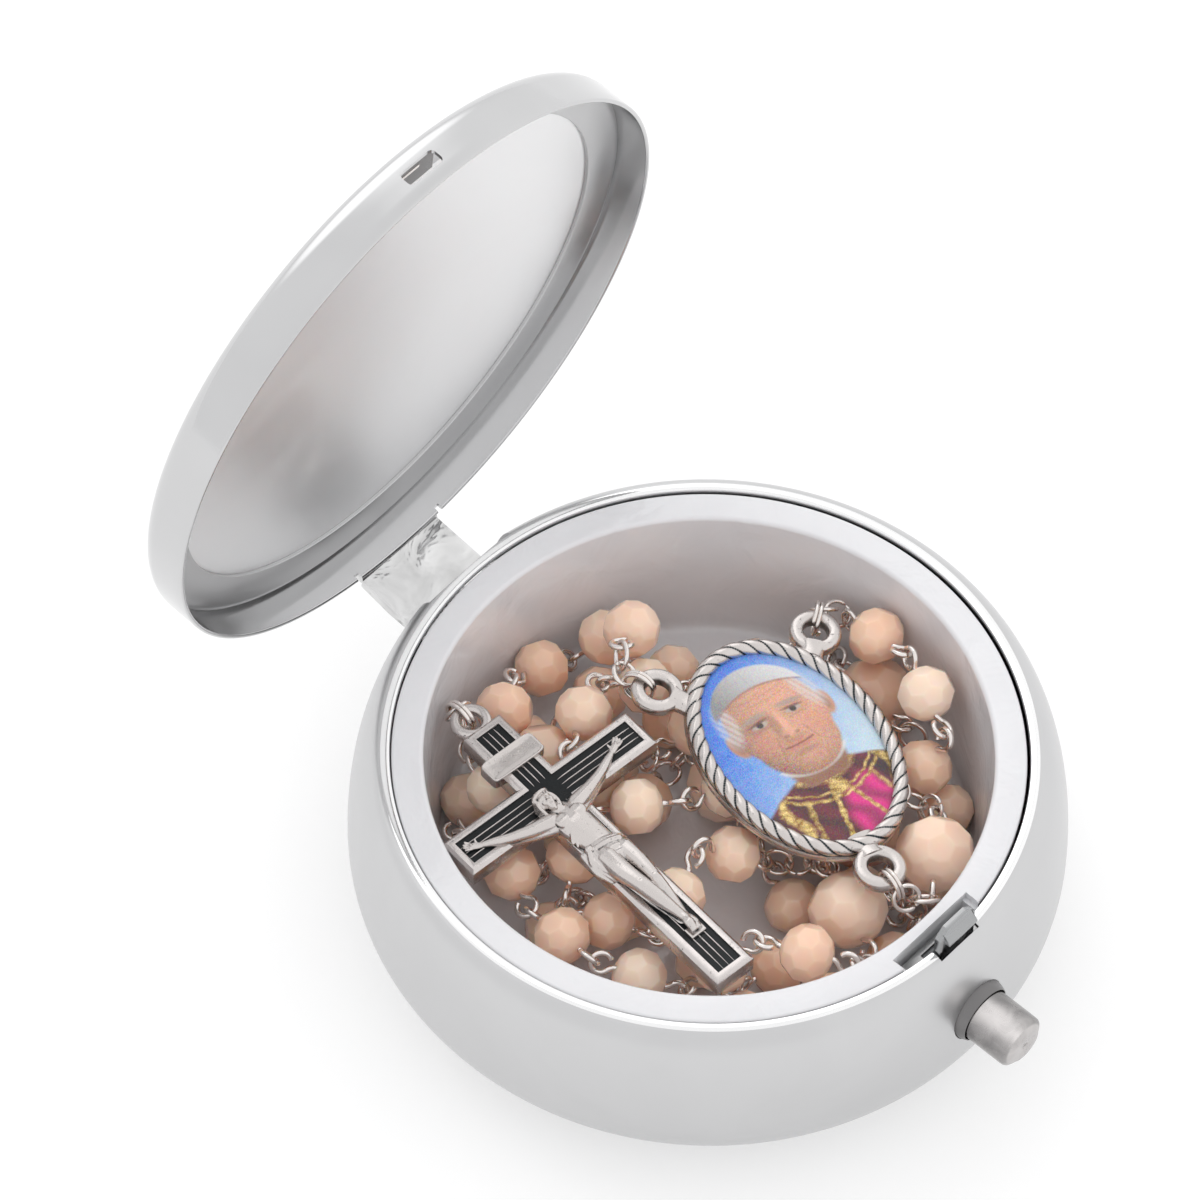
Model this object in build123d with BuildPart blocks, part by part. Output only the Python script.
# A round hinged rosary box: a spun metal bowl and lid, a moulded tray, a button catch,
# and a rosary lying loose in the tray. Millimetres, +Z up, the button faces -Y and the
# hinge is at +Y. The origin is the centre of the foot. The lid is drawn open.
from build123d import *
from math import cos, pi, radians, sin, sqrt
import os

import numpy as np

os.makedirs("parts", exist_ok=True)

# ---- bowl ----
rim_z = 24.5  # height of the rim
rim_r = 33.0  # outer radius of the rim band
band = 0.7  # width of the rim band
belly_out = 3.8  # the bowl swells this far past the rim band
belly_r = rim_r + belly_out
belly_drop = 13.5  # the belly lies this far below the rim
foot_r = 23.1  # radius of the flat foot
sheet = 0.5  # thickness of the spun metal

# ---- tray ----
mouth_r = 28.9  # inner radius of the tray at its mouth
tray_floor_r = 27.4  # inner radius at its floor
tray_depth = 17.2
tray_wall = 1.0
flange_r = 32.0  # outer radius of the flange
flange_t = 1.0
tray_lean = -0.15  # the tray lies this far off centre in the rim, along X
corner_r = 1.2
lip_r = 0.5
leg_count = 4
leg_r = 1.4
leg_ring = 17.0  # the tray's legs stand at this radius
pocket_left = 6.0  # the pocket for the catch, left and right of centre
pocket_right = 5.0
pocket_lip = 0.1  # the tray's lip left in front of the pocket, past its wall

# ---- lid ----
lid_r = 33.85  # outer radius of the skirt
skirt_h = 3.9
shoulder = 2.3  # the rounded edge above the skirt: inward
shoulder_h = 2.1  # and upward
dome_h = 2.0  # rise of the dome above the shoulder
ring_in = 29.0  # the inner ring shows the disc inside this radius
ring_ridge_r = 32.7  # its ridge
ridge_z = 3.8  # depth of the ridge above the skirt's edge
ring_step = 0.35  # the ring's inner edge lies this much deeper
ring_t = 0.4
disc_r = 31.0
disc_t = 0.5
fit_gap = 0.05  # clearance between pieces that are pressed or laid together

# ---- hinge ----
pivot_y = 34.87
pivot_drop = 8.59  # the hinge pin lies this far below the rim
open_angle = 84.5
pin_r = 0.5
running_gap = 0.05  # between the pin and the strap
strap_half = 5.6
strap_t = 0.5
strap_y = 33.9  # inner face of the strap just under the lid
strap_lean = 0.4  # how much further out the strap stands at its foot
strap_tab = 3.0  # the strap's tab stands this far up the skirt
ear_r = 1.4  # the strap's side flanges round the pin
flange_reach = 0.9  # outward from the pin, where the flanges meet the slot when open
slot_half = 6.0
slot_y = 33.35  # the slot starts here, outside the rim band
stop_gap = 0.12
bracket_half = 6.55  # outside of the bracket's ears
bracket_t = 0.6
bracket_y = 32.4  # inner face of the bracket's back plate
bracket_drop = 12.0  # the bracket's foot lies this far below the rim
spring_wire = 0.4
spring_turns = 8
spring_half = 3.6  # the torsion spring fills the pin this far each way

# ---- button and catch ----
button_drop = 9.3  # the button's axis lies this far below the rim
button_r = 2.9
button_front = 42.8  # the cap's face, in front of the centre
button_back = 37.0
button_travel = 1.2
dimple_r = 0.35
stem_r = 1.0
rivet_r = 1.35
rivet_t = 0.35
bush_front = 38.1
bush_bore_gap = 0.15
bush_wall = 0.45
flare_r = 4.2
bush_end = 33.25  # the bush's inner end, where the catch plate stops
bush_end_t = 0.6
coil_wire = 0.35
coil_turns = 3
coil_r = 1.9
catch_y = 33.1  # outer face of the catch plate
catch_t = 0.8
catch_half = 2.6
catch_top = 3.5  # height of the catch above the rim
catch_corner = 1.1
catch_foot = 11.6  # depth of the catch below the rim
nose_half = 2.1
nose_out = 0.8  # the nose stands this far in front of the plate
nose_z = 1.75  # its underside above the rim
nose_h = 1.4
window_half = 2.3
window_z = 1.6  # the window's lower edge above the skirt's edge
window_h = 1.8
notch_half = 2.8
notch_front = 33.6
guide_drop = 2.1  # top of the catch's guide below the rim
guide_half = 4.6
guide_t = 0.5
guide_h = 6.0
guide_back = 30.3  # inner edge of the guide
guide_gap = 0.2

# ---- rosary ----
bead_r = 2.9
big_bead_r = 4.0
bore_gap = 0.05  # between a bead's bore and its wire
bead_sides = 8
wire = 0.6  # wire of the eye pins
eye_r = 1.05  # an eye, to the middle of its wire
link_wire = 0.5
link_r = 1.3
jump_r = 1.65  # the jump rings at the cast rings
slack = 0.1  # play between two loops that hang in each other
skin = 0.06  # play round each bead

cross_at = (-13.6, 9.4, -3.5)  # where its bars cross, from the centre of the rim
cross_yaw = -6.0
cross_up = 10.6
cross_down = 28.1
cross_arm = 12.25
cross_bar = 4.8
cross_t = 2.5
cross_edge = 0.9  # width of the raised edge
inlay_depth = 0.5
inlay_t = 0.3
cross_ring_r = 1.6
cross_ring_tube = 0.6
title_half = (4.0, 1.5)
title_t = 0.7
title_y = 6.0

medal_at = (7.9, -4.7, -3.5)
medal_yaw = -17.7
medal_tilt = 8.0
medal_half = (10.4, 14.3)
medal_t = 2.4
medal_border = 1.75
medal_back = 0.7  # plate behind the picture
picture_t = 0.9
medal_ring_r = 2.0
medal_ring_tube = 0.75
medal_ring_places = [(-9.45, 12.1), (9.45, 12.1), (0.0, -16.6)]
lug_half = 0.75  # the short necks that join the rings to the frame
hang = 0.5  # a link lies this far outward in a medal ring's hole

# ---- worked out ----
belly_z = rim_z - belly_drop
rim_in = rim_r - band
skirt_in = lid_r - sheet
pivot_z = rim_z - pivot_drop
button_z = rim_z - button_drop
tray_floor = rim_z - tray_depth
slot_bottom = pivot_z - flange_reach * sin(radians(open_angle)) - stop_gap
hinge_axis = Axis((0, pivot_y, pivot_z), (1, 0, 0))
rim = Vector(0, 0, rim_z)


def bowl(inset):
    """The bowl's outer shape as a solid, drawn in by inset all round."""
    with BuildPart() as solid:
        with BuildSketch(Plane.XZ):
            with BuildLine():
                Polyline((0, rim_z - inset), (0, inset), (foot_r, inset))
                EllipticalCenterArc(
                    (foot_r, belly_z), belly_r - foot_r - inset, belly_z - inset, 270, arc_size=90
                )
                EllipticalCenterArc(
                    (rim_r, belly_z), belly_r - rim_r - inset, belly_drop - inset, 0, arc_size=90
                )
                Line((rim_r, rim_z - inset), (0, rim_z - inset))
            make_face()
        revolve(axis=Axis.Z)
    return solid.part


outside = bowl(0)
cavity = bowl(sheet)


def finish(piece, name):
    piece.part.label = name
    export_step(piece.part, f"parts/{name}.step")
    print(name, round(piece.part.volume, 2), len(piece.part.solids()))


def lid_place(shape):
    """Turn a piece drawn on the closed box to where it stands with the lid open."""
    return shape.rotate(hinge_axis, -open_angle)


# ---- base_shell: the spun bowl ----
with BuildPart() as base_shell:
    add(outside)
    add(cavity, mode=Mode.SUBTRACT)
    with BuildSketch(Plane.XY.offset(rim_z)):
        Circle(rim_in)
    extrude(amount=-2 * sheet, mode=Mode.SUBTRACT)
    with BuildSketch(Plane.XY.offset(rim_z)):  # slot for the hinge strap
        with Locations((0, slot_y)):
            Rectangle(2 * slot_half, belly_r - slot_y + 1, align=(Align.CENTER, Align.MIN))
    extrude(amount=slot_bottom - rim_z, mode=Mode.SUBTRACT)
    with BuildSketch(Plane.XY.offset(rim_z)):  # notch for the catch
        with Locations((0, -notch_front)):
            Rectangle(2 * notch_half, notch_front - rim_in + 1, align=(Align.CENTER, Align.MIN))
    extrude(amount=-2 * sheet, mode=Mode.SUBTRACT)
    with BuildSketch(Plane.XZ.offset(bush_end)):  # hole for the bush
        with Locations((0, button_z)):
            Circle(button_r + bush_bore_gap + bush_wall)
    extrude(amount=belly_r - bush_end + 1, mode=Mode.SUBTRACT)
finish(base_shell, "base_shell")

# ---- liner_tray: moulded tray with a flange and legs ----
with BuildPart() as liner_tray:
    with BuildSketch(Plane.XZ) as tray_half:
        with BuildLine():
            Polyline(
                (0, tray_floor),
                (tray_floor_r, tray_floor),
                (mouth_r, rim_z),
                (flange_r, rim_z),
                (flange_r, rim_z - flange_t),
                (mouth_r + tray_wall, rim_z - flange_t),
                (tray_floor_r + tray_wall, tray_floor - tray_wall),
                (0, tray_floor - tray_wall),
                close=True,
            )
        make_face()
        corners = tray_half.vertices()
        inner_corner = corners.sort_by_distance((tray_floor_r, 0, tray_floor))[0]
        outer_corner = corners.sort_by_distance(
            (tray_floor_r + tray_wall, 0, tray_floor - tray_wall)
        )[0]
        fillet([inner_corner, outer_corner], corner_r)
        edges_up = tray_half.vertices().group_by(Axis.Z)[-1]
        fillet(edges_up, min(lip_r, 0.45 * flange_t))
    revolve(axis=Axis.Z)
    with BuildSketch(Plane.XY.offset(tray_floor - tray_wall)):
        with PolarLocations(leg_ring, leg_count, start_angle=45):
            Circle(leg_r)
    extrude(amount=-(tray_floor - tray_wall - sheet))
    with BuildSketch(Plane.XY.offset(rim_z)):  # pocket for the catch
        with Locations((-pocket_left, -flange_r - 1)):
            Rectangle(pocket_left + pocket_right, flange_r + 1, align=Align.MIN)
        Circle(mouth_r + tray_wall + pocket_lip, mode=Mode.SUBTRACT)
    extrude(amount=-2 * flange_t, mode=Mode.SUBTRACT)
liner_tray.part.position = (tray_lean, 0, 0)
finish(liner_tray, "liner_tray")

# ---- button_bush: turned bush, its flare cut to the bowl ----
button_axis = Axis((0, 0, button_z), (0, -1, 0))
bush_in = button_r + bush_bore_gap
bush_out = bush_in + bush_wall
with BuildPart() as button_bush:
    with BuildSketch(Plane.YZ):
        with BuildLine():
            Polyline(
                (-bush_front, button_z),
                (-bush_front, button_z + bush_out),
                (-bush_front + 0.7, button_z + bush_out),
                (-bush_front + 1.5, button_z + flare_r),
                (-bush_end, button_z + flare_r),
                (-bush_end, button_z),
                close=True,
            )
        make_face()
    revolve(axis=button_axis)
    add(outside, mode=Mode.SUBTRACT)
    with BuildSketch(Plane.XZ.offset(bush_end)):
        with Locations((0, button_z)):
            Circle(bush_out - 0.01)
    extrude(amount=bush_front - bush_end)
    with BuildSketch(Plane.XZ.offset(bush_end + bush_end_t)):
        with Locations((0, button_z)):
            Circle(bush_in)
    extrude(amount=bush_front, mode=Mode.SUBTRACT)
    with BuildSketch(Plane.XZ.offset(bush_end)):
        with Locations((0, button_z)):
            Circle(stem_r + running_gap)
    extrude(amount=bush_front, mode=Mode.SUBTRACT)
finish(button_bush, "button_bush")

# ---- catch_guide: folded bracket with a slot for the catch ----
slot_front = catch_y + guide_gap
slot_back = catch_y - catch_t - button_travel - guide_gap
with BuildPart() as catch_guide:
    with BuildSketch(Plane.XY.offset(rim_z - guide_drop)):
        with Locations((0, -belly_r)):
            Rectangle(
                2 * (guide_half + guide_t), belly_r - guide_back, align=(Align.CENTER, Align.MIN)
            )
        with Locations((0, -slot_front)):
            Rectangle(
                2 * (catch_half + guide_gap),
                slot_front - slot_back,
                align=(Align.CENTER, Align.MIN),
                mode=Mode.SUBTRACT,
            )
    extrude(amount=-guide_t)
    with BuildSketch(Plane.XY.offset(rim_z - guide_drop)):
        for side in (-1, 1):
            with Locations((side * (guide_half + guide_t / 2), -belly_r)):
                Rectangle(guide_t, belly_r - guide_back, align=(Align.CENTER, Align.MIN))
    extrude(amount=-guide_h)
    add(cavity, mode=Mode.INTERSECT)
finish(catch_guide, "catch_guide")

# ---- push_button: cap, stem and the riveted end ----
with BuildPart() as push_button:
    with BuildSketch(Plane.YZ):
        with BuildLine():
            Polyline(
                (-button_front, button_z),
                (-button_front, button_z + 0.62 * button_r),
                (-button_front + 0.35, button_z + 0.8 * button_r),
                (-button_front + 0.6, button_z + 0.97 * button_r),
                (-button_front + 1.0, button_z + button_r),
                (-button_back, button_z + button_r),
                (-button_back, button_z + stem_r),
                (-catch_y + catch_t, button_z + stem_r),
                (-catch_y + catch_t, button_z + rivet_r),
                (-catch_y + catch_t + rivet_t, button_z + rivet_r),
                (-catch_y + catch_t + rivet_t, button_z),
                close=True,
            )
        make_face()
    revolve(axis=button_axis)
    with BuildSketch(Plane.XZ.offset(button_front)):
        with Locations((0, button_z)):
            Circle(dimple_r)
    extrude(amount=-0.2, mode=Mode.SUBTRACT)
finish(push_button, "push_button")

# ---- latch_catch: plate with a nose, riveted to the stem ----
with BuildPart() as latch_catch:
    with BuildSketch(Plane.XZ.offset(catch_y - catch_t)) as plate:
        with Locations((0, rim_z - catch_foot)):
            Rectangle(
                2 * catch_half, catch_foot + catch_top, align=(Align.CENTER, Align.MIN)
            )
        chamfer(plate.vertices().group_by(Axis.Z)[-1], catch_corner)
        with Locations((0, button_z)):
            Circle(stem_r + 0.01, mode=Mode.SUBTRACT)
    extrude(amount=catch_t)
    with BuildSketch(Plane.YZ.offset(-nose_half)):
        with BuildLine():
            Polyline(
                (-catch_y + 0.2, rim_z + nose_z),
                (-catch_y - nose_out, rim_z + nose_z + 0.1),
                (-catch_y - nose_out, rim_z + nose_z + 0.4),
                (-catch_y + 0.2, rim_z + nose_z + nose_h),
                close=True,
            )
        make_face()
    extrude(amount=2 * nose_half)
finish(latch_catch, "latch_catch")

# ---- button_spring: coil round the stem, inside the bush ----
coil_room = button_back - bush_end - bush_end_t
coil_pitch = (coil_room - coil_wire - 2 * fit_gap) / coil_turns
with BuildPart() as button_spring:
    with BuildLine() as coil_line:
        Helix(
            coil_pitch,
            coil_pitch * coil_turns,
            coil_r,
            center=(0, -button_back + coil_wire / 2 + fit_gap, button_z),
            direction=(0, 1, 0),
        )
    with BuildSketch(Plane(coil_line.line @ 0, z_dir=coil_line.line % 0)):
        Circle(coil_wire / 2)
    sweep(is_frenet=True)
finish(button_spring, "button_spring")

# ---- hinge_bracket: folded bracket with two ears ----
with BuildPart() as hinge_bracket:
    with BuildSketch(Plane.XY.offset(rim_z - bracket_drop)):
        with Locations((0, bracket_y)):
            Rectangle(2 * bracket_half, belly_r - bracket_y, align=(Align.CENTER, Align.MIN))
    extrude(amount=-bracket_t)
    with BuildSketch(Plane.XZ.offset(-bracket_y - bracket_t)):
        with Locations((0, rim_z - bracket_drop)):
            Rectangle(
                2 * bracket_half,
                bracket_drop - pivot_drop + ear_r,
                align=(Align.CENTER, Align.MIN),
            )
    extrude(amount=bracket_t)
    for side in (-1, 1):
        ear_plane = Plane.YZ.offset(side * (bracket_half - bracket_t / 2))
        with BuildSketch(ear_plane):
            with Locations((bracket_y, rim_z - bracket_drop)):
                Rectangle(
                    pivot_y - bracket_y + ear_r, bracket_drop - pivot_drop + ear_r, align=Align.MIN
                )
            with Locations((pivot_y, pivot_z)):
                Circle(pin_r + 0.01, mode=Mode.SUBTRACT)
        extrude(amount=bracket_t / 2, both=True)
    add(cavity, mode=Mode.INTERSECT)
finish(hinge_bracket, "hinge_bracket")

# ---- hinge_pin ----
with BuildPart() as hinge_pin:
    with BuildSketch(Plane.YZ):
        with Locations((pivot_y, pivot_z)):
            Circle(pin_r)
    extrude(amount=bracket_half, both=True)
finish(hinge_pin, "hinge_pin")

# ---- hinge_spring: the coil of the torsion spring round the pin ----
spring_r = pin_r + 0.25 + spring_wire / 2
spring_pitch = 2 * spring_half / spring_turns
with BuildPart() as hinge_spring:
    with BuildLine() as torsion_line:
        Helix(
            spring_pitch,
            2 * spring_half,
            spring_r,
            center=(-spring_half, pivot_y, pivot_z),
            direction=(1, 0, 0),
        )
    with BuildSketch(Plane(torsion_line.line @ 0, z_dir=torsion_line.line % 0)):
        Circle(spring_wire / 2)
    sweep(is_frenet=True)
finish(hinge_spring, "hinge_spring")


# ---- lid_shell: domed lid with the catch's window ----
def lid_solid(inset):
    """The lid's outer shape on the closed box as a solid, drawn in by inset."""
    wall_r = lid_r - inset
    top_r = lid_r - shoulder
    top_z = rim_z + skirt_h + shoulder_h - inset
    with BuildPart() as solid:
        with BuildSketch(Plane.XZ):
            with BuildLine():
                Polyline((0, top_z + dome_h), (0, rim_z), (wall_r, rim_z), (wall_r, rim_z + skirt_h))
                EllipticalCenterArc(
                    (top_r, rim_z + skirt_h), shoulder - inset, shoulder_h - inset, 0, arc_size=70
                )
                edge_r = top_r + (shoulder - inset) * cos(radians(70))
                edge_z = rim_z + skirt_h + (shoulder_h - inset) * sin(radians(70))
                rise = top_z + dome_h - edge_z
                dome_r = (edge_r**2 + rise**2) / (2 * rise)
                half_z = top_z + dome_h - dome_r + sqrt(dome_r**2 - edge_r**2 / 4)
                ThreePointArc((edge_r, edge_z), (edge_r / 2, half_z), (0, top_z + dome_h))
            make_face()
        revolve(axis=Axis.Z)
    return solid.part


with BuildPart() as lid_shell:
    add(lid_solid(0))
    add(lid_solid(sheet), mode=Mode.SUBTRACT)
    with BuildSketch(Plane.XZ.offset(rim_r)):  # window for the catch's nose
        with Locations((0, rim_z + window_z)):
            Rectangle(2 * window_half, window_h, align=(Align.CENTER, Align.MIN))
    extrude(amount=2, mode=Mode.SUBTRACT)
    with BuildSketch(Plane.XZ.offset(-rim_r - 1)):  # notches each side of the strap
        for side in (-1, 1):
            with Locations((side * (strap_half + 0.4), rim_z)):
                Rectangle(0.6, 0.7, align=(Align.CENTER, Align.MIN))
    extrude(amount=2, both=True, mode=Mode.SUBTRACT)
lid_shell.part = lid_place(lid_shell.part)
finish(lid_shell, "lid_shell")

# ---- lid_strap: sheet strap with folded sides that carry the pin ----
web_foot_z = pivot_z + ear_r
with BuildPart() as lid_strap:
    with BuildSketch(Plane.YZ.offset(-strap_half)):
        with BuildLine():
            Polyline(
                (skirt_in - 1.5, rim_z + strap_tab),
                (strap_y + strap_t, rim_z + strap_tab),
                (strap_y + strap_t, rim_z),
                (strap_y + strap_t + strap_lean, web_foot_z),
                (strap_y + strap_lean, web_foot_z),
                (strap_y, rim_z),
                (skirt_in - 1.5, rim_z + 0.3),
                close=True,
            )
        make_face()
    extrude(amount=2 * strap_half)
    for side in (-1, 1):
        with BuildSketch(Plane.YZ.offset(side * (strap_half - strap_t / 2))):
            with BuildLine():
                Polyline(
                    (strap_y + 0.1, rim_z),
                    (strap_y + strap_lean + 0.1, web_foot_z),
                    (pivot_y - ear_r, pivot_z),
                    (pivot_y + flange_reach, pivot_z),
                    (pivot_y + flange_reach, pivot_z + 4.5),
                    (strap_y + strap_t + 0.6, rim_z + 0.2),
                    close=True,
                )
            make_face()
            with Locations((pivot_y, pivot_z)):
                Circle(flange_reach)
                Circle(pin_r + running_gap, mode=Mode.SUBTRACT)
        extrude(amount=strap_t / 2, both=True)
    with BuildSketch(Plane.XY.offset(rim_z - 1)):
        Circle(lid_r + 0.02)
    extrude(amount=strap_tab + 3, mode=Mode.SUBTRACT)
lid_strap.part = lid_place(lid_strap.part)
finish(lid_strap, "lid_strap")

# ---- lid_ring: ring pressed into the skirt ----
with BuildPart() as lid_ring:
    with BuildSketch(Plane.XZ):
        with BuildLine():
            Polyline(
                (skirt_in - fit_gap, rim_z + ridge_z + 0.15),
                (ring_ridge_r, rim_z + ridge_z),
                (ring_in, rim_z + ridge_z + ring_step),
                (ring_in, rim_z + ridge_z + ring_step + ring_t),
                (ring_ridge_r, rim_z + ridge_z + ring_t),
                (skirt_in - fit_gap, rim_z + ridge_z + 0.15 + 0.1),
                close=True,
            )
        make_face()
    revolve(axis=Axis.Z)
lid_ring.part = lid_place(lid_ring.part)
finish(lid_ring, "lid_ring")

# ---- lid_disc: flat disc behind the ring ----
with BuildPart() as lid_disc:
    with BuildSketch(Plane.XY.offset(rim_z + ridge_z + ring_step + ring_t + 0.02)):
        Circle(disc_r)
    extrude(amount=disc_t)
lid_disc.part = lid_place(lid_disc.part)
finish(lid_disc, "lid_disc")


# ---- where the rosary lies, from the centre of the rim ----
# Places of its beads in the order of the strand, chosen by hand: two layers that cross.
deep = -14.2
decade_places = [
    [
        (14.6, 11.8, -6.3), (8, 19, -8.5), (-1, 19.5, -7.5), (-9.5, 16.5, -7.5), (-18.5, 15, -9),
        (-23.3, 6.5, -8.5), (-24, -3, -8.5), (-20.5, -12, -8.5), (-12.5, -17.5, -7.5), (-6, -23, -8),
    ],
    [
        (-1.5, -12.5, -9), (-5.8, -6.2, -5.8), (-13.5, -2.5, -9), (-15, 7.5, -9.6),
        (-6.8, 2.8, -7.2), (1.5, -3, -9.3), (9.5, -8, -9.3), (4, -15, deep), (12, -20, deep),
        (20, -14, deep),
    ],
    [
        (21, 7, deep), (14, 13.5, deep), (6.5, 20, deep), (-3.5, 21.5, deep), (-13, 18.5, deep),
        (-21, 11, deep), (-12, 10, deep), (-2.5, 13, deep), (6.5, 9.5, deep), (14.5, 3.5, deep),
    ],
    [
        (6, -22, deep), (-4, -24, deep), (-13, -20, deep), (-20.5, -12.5, deep), (-23.5, -3, deep),
        (-21, 5, deep), (-13.5, 0, deep), (-13, -9.5, deep), (-5, -14, deep), (-4, -4.5, deep),
    ],
    [
        (-4, 5, deep), (-1, 4, -8.8), (-2.5, 12.5, -9.2), (6.5, 14, -10), (13, 8, -10),
        (17.5, 0, -10.5), (15, -12, -9.3), (13, -3, -9.3), (19, -2.5, -8.3), (23.5, 5.5, -9),
    ],
]
big_places = [
    (1, -20, -8.5), (22.5, -5, -13), (13, -7, -13), (4.5, -3, -13), (13, -20.3, -5.6),
    (-7.5, 11.5, -9.2),
]
pendant_places = [(21, -6, -8.3), (11.5, 2.5, -9.4), (2.5, 7.5, -9.4)]
strand_seed = 27
strand_steps = 5000
eye_ball = 1.5


def turned(yaw, tilt=0):
    """Rotation matrix of a flat piece turned by yaw about Z, then tilted about its own Y."""
    c, s = cos(radians(yaw)), sin(radians(yaw))
    ct, st = cos(radians(tilt)), sin(radians(tilt))
    spin = np.array([[c, -s, 0], [s, c, 0], [0, 0, 1]])
    return spin @ np.array([[ct, 0, st], [0, 1, 0], [-st, 0, ct]])


cross_turn = turned(cross_yaw)
medal_turn = turned(medal_yaw, medal_tilt)
cross_centre = np.array(cross_at)
medal_centre = np.array(medal_at)
cross_ring_y = cross_up + cross_ring_r
eyelets = [  # the cast rings: centre, frame, radius, tube, way out
    (medal_centre + medal_turn @ (x, y, 0), medal_turn, medal_ring_r, medal_ring_tube, (x, y, 0))
    for x, y in medal_ring_places
]
eyelets.append(
    (
        cross_centre + cross_turn @ (0, cross_ring_y, 0),
        cross_turn,
        cross_ring_r,
        cross_ring_tube,
        (0, 1, 0),
    )
)
droop = [0.25, 0.15, 0.15, 0.45]  # how steeply each end of the strand falls from its ring


def unit(vector):
    return np.asarray(vector, float) / np.linalg.norm(vector)


def strand_ends():
    """For each cast ring, the point where the strand hangs in it and its direction."""
    ends = []
    for (centre, frame, radius, tube, out), fall in zip(eyelets, droop):
        way = unit(frame @ unit(out))
        offset = hang if radius == medal_ring_r else 0
        ends.append((centre + offset * way, unit(way - [0, 0, fall])))
    return ends


gap = [("link", None)] * 3
decades = [[("bead", place) for place in places] for places in decade_places]
bigs = [[("big", place)] for place in big_places]
ring_units = list(gap)
for decade, big in zip(decades[:4], bigs):
    ring_units += decade + gap + big + gap
ring_units += decades[4] + gap
tail_units = gap + bigs[4] + gap + [("bead", place) for place in pendant_places]
tail_units += gap + bigs[5] + gap + gap
units = ring_units + tail_units
first = np.concatenate(
    [np.arange(len(ring_units)), len(ring_units) + 1 + np.arange(len(tail_units))]
)
last = first + 1
seam = len(ring_units)  # the last junction of the ring part
is_link = np.array([kind == "link" for kind, place in units])
sizes = {"link": link_r + link_wire / 2, "bead": bead_r, "big": big_bead_r}
solid_r = np.array([sizes[kind] for kind, place in units])
end_units = [len(ring_units) - 1, len(units) - 1]
jump_units = [0, end_units[0], end_units[0] + 1, end_units[1]]
solid_r[jump_units] = jump_r + link_wire / 2
overlap = np.where(is_link, link_wire + slack, wire + slack)
overlap[end_units] = 0
unit_length = np.where(
    is_link, 2 * solid_r - link_wire, 2 * (solid_r + skin + 2 * eye_r + wire / 2)
) - overlap
share = overlap / (2 * unit_length)  # a unit's middle lies this far past its half way


def strand_start():
    """Junctions of the strand through the hand-chosen places, its ends set in the rings."""
    ends = strand_ends()
    knots = []
    for part, begin, stop in ((ring_units, 0, 1), (tail_units, 2, 3)):
        known = [0] + [i + 1 for i, (kind, place) in enumerate(part) if place] + [len(part) + 1]
        places = [ends[begin][0]] + [place for kind, place in part if place] + [ends[stop][0]]
        places = np.array(places, float)
        middle = np.stack(
            [np.interp(np.arange(len(part) + 2), known, places[:, k]) for k in range(3)], 1
        )
        joints = (middle[:-1] + middle[1:]) / 2
        joints[0], joints[-1] = places[0], places[-1]
        knots.append(joints)
    knots = np.concatenate(knots)
    for knot, neighbour, i, length in (
        (0, 1, 0, unit_length[0]),
        (seam, seam - 1, 1, 2 * jump_r),
        (seam + 1, seam + 2, 2, unit_length[0]),
        (len(knots) - 1, len(knots) - 2, 3, 2 * jump_r),
    ):
        knots[knot], way = ends[i]
        knots[neighbour] = ends[i][0] + length * way
    return knots


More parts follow.
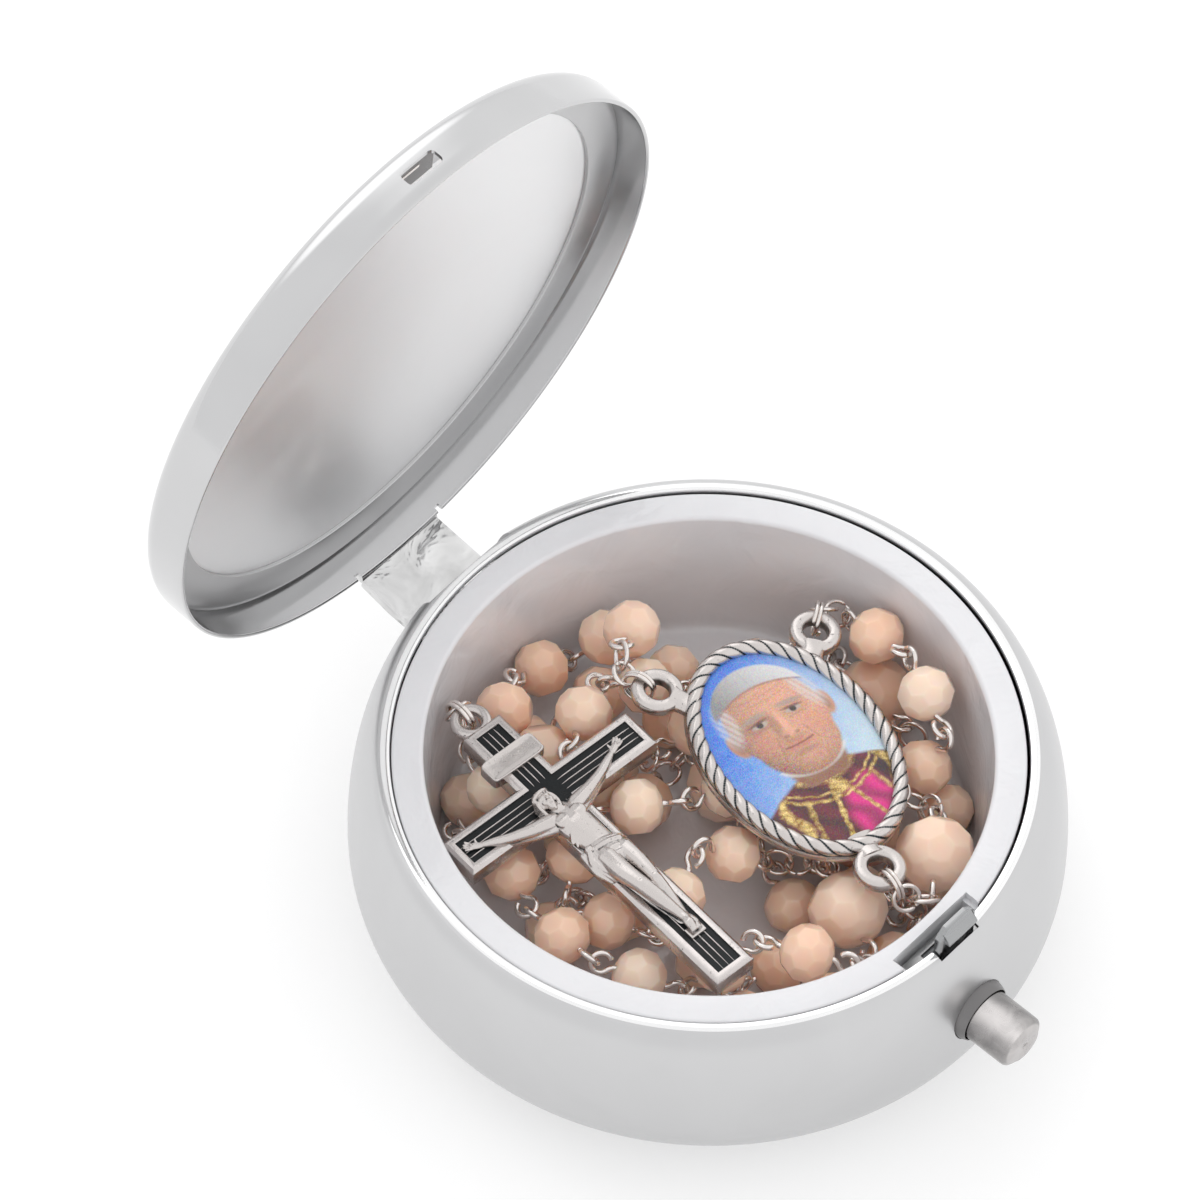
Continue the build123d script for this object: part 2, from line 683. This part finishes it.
def strand_settle(seed=strand_seed, steps=strand_steps):
    """Let the strand fall: lengths, bends, contacts and the tray push its junctions about."""
    joints = strand_start()
    free = np.ones((len(joints), 1))
    free[[0, 1, seam - 1, seam, seam + 1, seam + 2, -2, -1]] = 0
    rng = np.random.default_rng(seed)
    joints = joints + rng.uniform(-1.5, 1.5, joints.shape) * free
    wired = ~is_link
    eyes = np.unique(np.concatenate([first[wired], last[wired]]))
    radius = np.concatenate([solid_r + np.where(is_link, 0.05, skin), np.full(len(eyes), eye_ball)])
    along = np.concatenate([(first + last) / 2, eyes])
    tail = along > seam + 0.5
    apart = (np.abs(along[:, None] - along) > 1.01) | (tail[:, None] != tail)
    one, two = (side[apart[np.triu_indices(len(radius), 1)]] for side in
                np.triu_indices(len(radius), 1))
    reach = radius[one] + radius[two]
    bend = np.nonzero(first[1:] == last[:-1])[0]
    limit = np.radians(np.where(is_link[bend] | is_link[bend + 1], 50, 82))
    fore, aft = unit_length[bend], unit_length[bend + 1]
    least = np.sqrt(fore**2 + aft**2 + 2 * fore * aft * np.cos(limit))
    seen = np.nonzero(wired)[0]
    targets = np.array([place for kind, place in units if place], float)
    turn = np.arange(8) * pi / 4
    posts = np.concatenate([
        centre + (np.stack([np.cos(turn), np.sin(turn), 0 * turn], 1) * size) @ frame.T
        for centre, frame, size, tube, out in eyelets
    ])
    post_r = np.repeat([tube + 0.05 for centre, frame, size, tube, out in eyelets], len(turn))
    held = np.repeat([0, seam, seam + 1, len(joints) - 1], len(turn))
    own = np.abs(along[:, None] - held) < 1.2
    bars = [
        (cross_centre + cross_turn @ (0, (cross_up - cross_down) / 2, 0),
         np.array([cross_bar / 2, (cross_up + cross_down) / 2, cross_t / 2])),
        (cross_centre, np.array([cross_arm, cross_bar / 2, cross_t / 2])),
    ]
    bars = [(centre, half + 0.08) for centre, half in bars]
    oval = np.array([*medal_half, medal_t / 2])

    def balls(at):
        middle = at[first] * (0.5 - share)[:, None] + at[last] * (0.5 + share)[:, None]
        return np.concatenate([middle, at[eyes]])

    def spread(push):
        moved = np.zeros_like(joints)
        n = len(units)
        np.add.at(moved, first, push[:n] * (0.5 - share)[:, None])
        np.add.at(moved, last, push[:n] * (0.5 + share)[:, None])
        np.add.at(moved, eyes, push[n:])
        return moved * free

    for step in range(steps):
        f = step / steps
        if f < 0.6 and step % 100 == 0:
            joints += rng.normal(0, 0.5 * (1 - f / 0.6), joints.shape) * free
        joints[:, 2:] -= max(0, 0.02 * (1 - f / 0.75)) * free
        if f < 0.7:
            pull = targets - balls(joints)[seen]
            size = np.linalg.norm(pull, axis=1, keepdims=True)
            pull *= np.minimum(1, 2 / np.maximum(size, 1e-6)) * 0.06 * (1 - f / 0.7)
            moved = np.zeros_like(joints)
            np.add.at(moved, first[seen], pull)
            np.add.at(moved, last[seen], pull)
            joints += moved * free
        for again in range(3):
            span = joints[last] - joints[first]
            size = np.linalg.norm(span, axis=1)
            span *= (0.45 * (size - unit_length) / size)[:, None]
            moved = np.zeros_like(joints)
            np.add.at(moved, first, span)
            np.add.at(moved, last, -span)
            joints += moved * free
        span = joints[last[bend + 1]] - joints[first[bend]]
        size = np.linalg.norm(span, axis=1)
        span *= (0.3 * np.maximum(0, least - size) / size)[:, None]
        moved = np.zeros_like(joints)
        np.add.at(moved, last[bend + 1], span)
        np.add.at(moved, first[bend], -span)
        joints += moved * free
        at = balls(joints)
        push = np.zeros_like(at)
        count = np.zeros(len(at))
        if step % 20 == 0:
            near = np.linalg.norm(at[one] - at[two], axis=1) < reach + 1.5
            a, b, contact = one[near], two[near], reach[near]
        span = at[a] - at[b]
        size = np.linalg.norm(span, axis=1)
        hit = size < contact
        span = span[hit] * ((contact[hit] - size[hit]) * 0.5 / np.maximum(size[hit], 1e-6))[:, None]
        for side, sign in ((a[hit], 1), (b[hit], -1)):
            np.add.at(push, side, sign * span)
            np.add.at(count, side, 1)
        low = np.maximum(0, radius - tray_depth - at[:, 2])
        high = np.maximum(0, at[:, 2] + radius + 0.6)
        push[:, 2] += low - high
        count += (low > 0) * 1.0 + (high > 0)
        side = at[:, :2] - (tray_lean, 0)
        size = np.hypot(side[:, 0], side[:, 1])
        wall = mouth_r - 0.1 + (mouth_r - tray_floor_r) / tray_depth * at[:, 2]
        out = np.maximum(0, size + 1.01 * radius - wall)
        push[:, :2] -= side * (out / np.maximum(size, 1e-6))[:, None]
        count += out > 0
        for centre, half in bars:
            local = (at - centre) @ cross_turn
            gaps = local - np.clip(local, -half, half)
            under = (np.abs(local[:, 0]) < half[0]) & (np.abs(local[:, 1]) < half[1])
            under &= local[:, 2] > -half[2] - radius
            slide(push, count, local, gaps, under, half[2], radius, cross_turn)
        local = (at - medal_centre) @ medal_turn
        ratio = np.maximum(np.hypot(local[:, 0] / oval[0], local[:, 1] / oval[1]), 1e-6)
        inside = ratio < 1
        nearest = np.stack(
            [local[:, 0] / ratio, local[:, 1] / ratio, np.clip(local[:, 2], -oval[2], oval[2])], 1
        )
        gaps = np.where(inside[:, None], 9, local - nearest)
        under = inside & (local[:, 2] > -oval[2] - radius)
        slide(push, count, local, gaps, under, oval[2], radius, medal_turn)
        span = at[:, None] - posts
        size = np.linalg.norm(span, axis=2)
        deep_in = np.where(own, 0, np.maximum(0, radius[:, None] + post_r - size))
        push += (span * (0.5 * deep_in / np.maximum(size, 1e-6))[:, :, None]).sum(1)
        count += (deep_in > 0).sum(1)
        joints += 0.9 * spread(push / np.maximum(1, count / 2)[:, None])
    at = balls(joints)
    depth = reach - np.linalg.norm(at[one] - at[two], axis=1)
    print("strand: deepest contact", round(depth.max(), 3))
    return joints


def slide(push, count, local, gaps, under, half_t, radius, frame):
    """Push the balls under a plate down and those beside it away."""
    size = np.linalg.norm(gaps, axis=1)
    beside = ~under & (size < radius)
    push[under, 2] -= np.minimum(0.5, local[under, 2] + half_t + radius[under])
    away = gaps * ((radius - size) / np.maximum(size, 1e-6))[:, None]
    push += np.where(beside[:, None], away, 0) @ frame.T
    count += under | beside


# ---- the loops of the strand: how each stands to the next ----
roll_count = 18
roll_angles = np.arange(roll_count) * pi / roll_count
loop_turn = np.arange(36) * 2 * pi / 36


def across(way):
    """Two unit vectors square to way and to each other."""
    guide = (1.0, 0.0, 0.0) if abs(way[2]) > 0.9 else (0.0, 0.0, 1.0)
    one_side = unit(np.cross(way, guide))
    return one_side, np.cross(way, one_side)


def loop_sides(way):
    p, q = across(way)
    return np.outer(np.cos(roll_angles), p) + np.outer(np.sin(roll_angles), q)


def loop_points(loop):
    """Points round a loop for each roll it may have: rolls x points x 3."""
    centre, way, radius = loop["centre"], loop["way"], loop["radius"]
    sides = loop_sides(way)[:, None]
    return centre + radius * (np.cos(loop_turn)[None, :, None] * way
                              + np.sin(loop_turn)[None, :, None] * sides)


def strand_loops(joints):
    """The eyes and rings in order, and the middle of each unit. At a link's bend the two
    wires that hang in each other part along the line that halves the bend."""
    count = len(units)
    roots = joints[first].copy()
    tips = joints[last].copy()
    ways = [unit(stop - begin) for begin, stop in zip(roots, tips)]
    for i in range(count):
        if i not in end_units:
            own, other = (link_wire if is_link[k] else wire for k in (i, i + 1))
            passing = (own + other) / 2 + slack
            middle = tips[i] + passing / 2 * ways[i]
            rigid = is_link[i] or is_link[i + 1]
            parting = unit(ways[i] + ways[i + 1]) if rigid else ways[i]
            tips[i] = middle + passing / 2 * parting
            roots[i + 1] = middle - passing / 2 * parting
    loops = []
    for i, (root, tip) in enumerate(zip(roots, tips)):
        way = unit(tip - root)
        if is_link[i]:
            loops.append({"unit": i, "centre": (root + tip) / 2, "way": way,
                          "radius": np.linalg.norm(tip - root) / 2, "wire": link_wire})
        else:
            for centre in (root + eye_r * way, tip - eye_r * way):
                loops.append({"unit": i, "centre": centre, "way": way,
                              "radius": eye_r, "wire": wire})
    return loops, (roots + tips) / 2


def choose_rolls(loops):
    """Roll every loop so that each pair hangs in the other with the most room."""
    shapes = [loop_points(loop) for loop in loops]
    eyelet_of = {0: 0, end_units[0]: 1, end_units[0] + 1: 2, end_units[1]: 3}
    cost = []
    for loop in loops:
        own = np.zeros(roll_count)
        if loop["unit"] in eyelet_of:
            normal = eyelets[eyelet_of[loop["unit"]]][1][:, 2]
            own += 50 * (1 - np.abs(loop_sides(loop["way"]) @ normal))
        cost.append(own)
    best = [cost[0]]
    back = []
    gaps = []
    for k in range(1, len(loops)):
        fore, aft = loops[k - 1], loops[k]
        if fore["unit"] == aft["unit"] or fore["unit"] == end_units[0]:
            room = np.full((roll_count, roll_count), 1.0)
        else:
            room = np.array([
                np.linalg.norm(shapes[k - 1][r][None, :, None] - shapes[k][:, None], axis=3)
                .min((1, 2)) for r in range(roll_count)
            ]) - (fore["wire"] + aft["wire"]) / 2
        gaps.append(room)
        total = best[-1][:, None] + 100 * np.maximum(0, 0.1 - room) ** 2
        back.append(total.argmin(0))
        best.append(total.min(0) + cost[k])
    roll = int(best[-1].argmin())
    rolls = [roll]
    least = 9.0
    for k in range(len(loops) - 1, 0, -1):
        before = int(back[k - 1][roll])
        least = min(least, gaps[k - 1][before, roll])
        roll = before
        rolls.append(roll)
    rolls.reverse()
    print("strand: least gap between hanging loops", round(float(least), 3))
    for loop, roll in zip(loops, rolls):
        side = loop_sides(loop["way"])[roll]
        loop["normal"] = np.cross(loop["way"], side)
    return loops


def plane_at(centre, along, normal):
    """Plane with its X along one direction and its Z along another, at a place from the rim."""
    return Plane(rim + Vector(*centre), x_dir=Vector(*along), z_dir=Vector(*normal))


loops, centres = strand_loops(strand_settle())
loops = choose_rolls(loops)


# ---- beads: faceted, with a bore ----
def faceted(radius, sides):
    """A bead of flat facets in four rows, its bore along Z."""
    bore = wire / 2 + bore_gap
    with BuildPart() as bead:
        for height, size in ((-0.93, 0.4), (-0.55, 0.85), (0, 1), (0.55, 0.85), (0.93, 0.4)):
            with BuildSketch(Plane.XY.offset(height * radius)):
                RegularPolygon(size * radius, sides)
        loft(ruled=True)
        Cylinder(bore, 2.2 * radius, mode=Mode.SUBTRACT)
    return bead.part


small_bead = faceted(bead_r, bead_sides)
big_bead = faceted(big_bead_r, bead_sides)


def bead_places(numbers):
    places = []
    for i in numbers:
        way = next(loop["way"] for loop in loops if loop["unit"] == i)
        p, q = across(way)
        spin = 1.3 * i
        places.append(plane_at(centres[i], cos(spin) * p + sin(spin) * q, way))
    return places


def make_beads(name, numbers, shape):
    with BuildPart() as beads:
        with Locations(*bead_places(numbers)):
            add(shape)
    finish(beads, name)


def make_pins(name, numbers):
    """Eye pins: a straight wire through each bead with a round eye at each end."""
    ends = [loop for loop in loops if loop["unit"] in numbers]
    with BuildPart() as pins:
        for eye in ends:
            with Locations(plane_at(eye["centre"], eye["way"], eye["normal"])):
                Torus(eye["radius"], eye["wire"] / 2)
        for before, after in zip(ends[::2], ends[1::2]):
            way = before["way"]
            span = np.linalg.norm(after["centre"] - before["centre"]) - 2 * eye_r
            middle = (before["centre"] + after["centre"]) / 2
            with Locations(plane_at(middle, before["normal"], way)):
                Cylinder(wire / 2, span)
    finish(pins, name)


bead_numbers = [i for i, (kind, place) in enumerate(units) if kind == "bead"]
big_numbers = [i for i, (kind, place) in enumerate(units) if kind == "big"]
for k in range(5):
    ten = bead_numbers[10 * k : 10 * k + 10]
    make_beads(f"decade_{k + 1}_beads", ten, small_bead)
    make_pins(f"decade_{k + 1}_pins", ten)
make_beads("our_father_beads", big_numbers, big_bead)
make_pins("our_father_pins", big_numbers)
make_beads("pendant_beads", bead_numbers[50:], small_bead)
make_pins("pendant_pins", bead_numbers[50:])

# ---- chain_links and jump_rings ----
with BuildPart() as chain_links:
    for loop in loops:
        if is_link[loop["unit"]] and loop["unit"] not in jump_units:
            with Locations(plane_at(loop["centre"], loop["way"], loop["normal"])):
                Torus(loop["radius"], link_wire / 2)
finish(chain_links, "chain_links")

with BuildPart() as jump_rings:
    for loop in loops:
        if loop["unit"] in jump_units:
            with Locations(plane_at(loop["centre"], loop["way"], loop["normal"])):
                Torus(loop["radius"], link_wire / 2)
finish(jump_rings, "jump_rings")

# ---- crucifix_cross: cast cross, raised edge, recess and ring ----
cross_plane = plane_at(cross_centre, cross_turn[:, 0], cross_turn[:, 2])
cross_length = cross_up + cross_down


def cross_outline(narrow):
    """The cross as an outline, its bars and ends drawn in by narrow."""
    with Locations((0, (cross_up - cross_down) / 2)):
        Rectangle(cross_bar - 2 * narrow, cross_length - 2 * narrow)
    Rectangle(2 * cross_arm - 2 * narrow, cross_bar - 2 * narrow)


with BuildPart() as crucifix_cross:
    with BuildSketch(cross_plane.offset(-cross_t / 2)):
        cross_outline(0)
    extrude(amount=cross_t)
    top = crucifix_cross.faces().sort_by(Axis(cross_plane.origin, cross_plane.z_dir))
    chamfer(top[-1].edges(), 0.3)
    chamfer(top[0].edges(), 0.3)
    with BuildSketch(cross_plane.offset(cross_t / 2 - inlay_depth)):
        cross_outline(cross_edge)
    extrude(amount=cross_t, mode=Mode.SUBTRACT)
    with Locations(plane_at(eyelets[3][0], cross_turn[:, 0], cross_turn[:, 2])):
        Torus(cross_ring_r, cross_ring_tube)
finish(crucifix_cross, "crucifix_cross")

# ---- crucifix_enamel: the dark inlay ----
with BuildPart() as crucifix_enamel:
    with BuildSketch(cross_plane.offset(cross_t / 2 - inlay_depth)):
        cross_outline(cross_edge + 0.02)
    extrude(amount=inlay_t)
finish(crucifix_enamel, "crucifix_enamel")

# ---- crucifix_title_plate: the bare plaque ----
with BuildPart() as crucifix_title_plate:
    with BuildSketch(cross_plane.offset(cross_t / 2)):
        with Locations((0, title_y)):
            RectangleRounded(2 * title_half[0], 2 * title_half[1], 0.5)
    extrude(amount=title_t)
finish(crucifix_title_plate, "crucifix_title_plate")


# ---- crucifix_figure: the cast figure, from rounded limbs ----
def limb(start, stop, start_r, stop_r):
    """A rounded, tapered limb between two points, as a solid."""
    start, stop = Vector(*start), Vector(*stop)
    way = (stop - start).normalized()
    with BuildPart() as piece:
        with BuildSketch(Plane(start, z_dir=way)):
            Circle(start_r)
        with BuildSketch(Plane(stop, z_dir=way)):
            Circle(stop_r)
        loft()
        with Locations(start):
            Sphere(start_r)
        with Locations(stop):
            Sphere(stop_r)
    return piece.part


figure_back = cross_t / 2 - inlay_depth + inlay_t + 0.02
body_line = [  # x, y, height over the cross, radius
    [(0, -3.0, 0.9), (0.0, -8.0, 0.9), 1.35, 1.1],  # chest
    [(0, -8.6, 0.9), (0.0, -11.6, 0.9), 1.55, 1.4],  # cloth
    [(0.7, -11.0, 0.9), (0.9, -16.0, 1.5), 1.0, 0.8],  # thighs
    [(-0.7, -11.0, 0.9), (-0.5, -16.0, 1.3), 1.0, 0.8],
    [(0.9, -16.0, 1.5), (0.0, -20.6, 0.7), 0.8, 0.55],  # shins
    [(-0.5, -16.0, 1.3), (-0.3, -20.6, 0.6), 0.8, 0.55],
    [(-0.1, -20.6, 0.7), (-0.4, -22.2, 0.8), 0.6, 0.45],  # feet
    [(1.2, -3.0, 0.9), (4.9, -2.1, 0.7), 0.8, 0.5],  # arms
    [(4.9, -2.1, 0.7), (8.2, -0.3, 0.5), 0.5, 0.42],
    [(-1.2, -3.0, 0.9), (-4.9, -2.1, 0.7), 0.8, 0.5],
    [(-4.9, -2.1, 0.7), (-8.2, -0.3, 0.5), 0.5, 0.42],
    [(0.1, -2.6, 1.1), (0.5, -1.0, 1.4), 0.6, 0.6],  # neck
    [(0.5, -0.9, 1.5), (0.6, 0.3, 1.6), 1.0, 1.0],  # head
]
with BuildPart() as crucifix_figure:
    for begin, stop, begin_r, stop_r in body_line:
        with Locations(cross_plane.offset(figure_back)):
            add(limb(begin, stop, begin_r, stop_r))
    split(bisect_by=cross_plane.offset(figure_back), keep=Keep.TOP)
    add(crucifix_cross.part, mode=Mode.SUBTRACT)
finish(crucifix_figure, "crucifix_figure")

# ---- medal_frame: oval frame with a roped border, a back and three rings ----
medal_plane = plane_at(medal_centre, medal_turn[:, 0], medal_turn[:, 2])
picture_half = [side - medal_border for side in medal_half]
rope_r = medal_border / 2
with BuildPart() as medal_frame:
    with BuildSketch(medal_plane.offset(-medal_t / 2)):
        Ellipse(medal_half[0] - rope_r, medal_half[1] - rope_r)
    extrude(amount=medal_back)
    with BuildSketch(medal_plane.offset(-medal_t / 2)):
        Ellipse(*medal_half)
        Ellipse(*picture_half, mode=Mode.SUBTRACT)
    extrude(amount=medal_t)
    rims = medal_frame.faces().sort_by(Axis(medal_plane.origin, medal_plane.z_dir))
    fillet([rims[-1].edges().sort_by(SortBy.LENGTH)[-1]], 0.45 * medal_border)
    for centre, frame, radius, tube, out in eyelets[:3]:
        with Locations(plane_at(centre, frame[:, 0], frame[:, 2])):
            Torus(radius, tube)
        way = frame @ unit(out)
        with Locations(plane_at(centre - (radius + lug_half) * way, frame[:, 2], way)):
            Box(2 * tube, 2 * lug_half, 2 * lug_half)
    with BuildSketch(medal_plane.offset(medal_back - medal_t / 2)):
        Ellipse(*picture_half)
    extrude(amount=medal_t, mode=Mode.SUBTRACT)
finish(medal_frame, "medal_frame")

# ---- medal_picture: printed oval under a low dome ----
with BuildPart() as medal_picture:
    with BuildSketch(medal_plane.offset(medal_back - medal_t / 2)):
        Ellipse(picture_half[0] - fit_gap, picture_half[1] - fit_gap)
    extrude(amount=picture_t)
finish(medal_picture, "medal_picture")
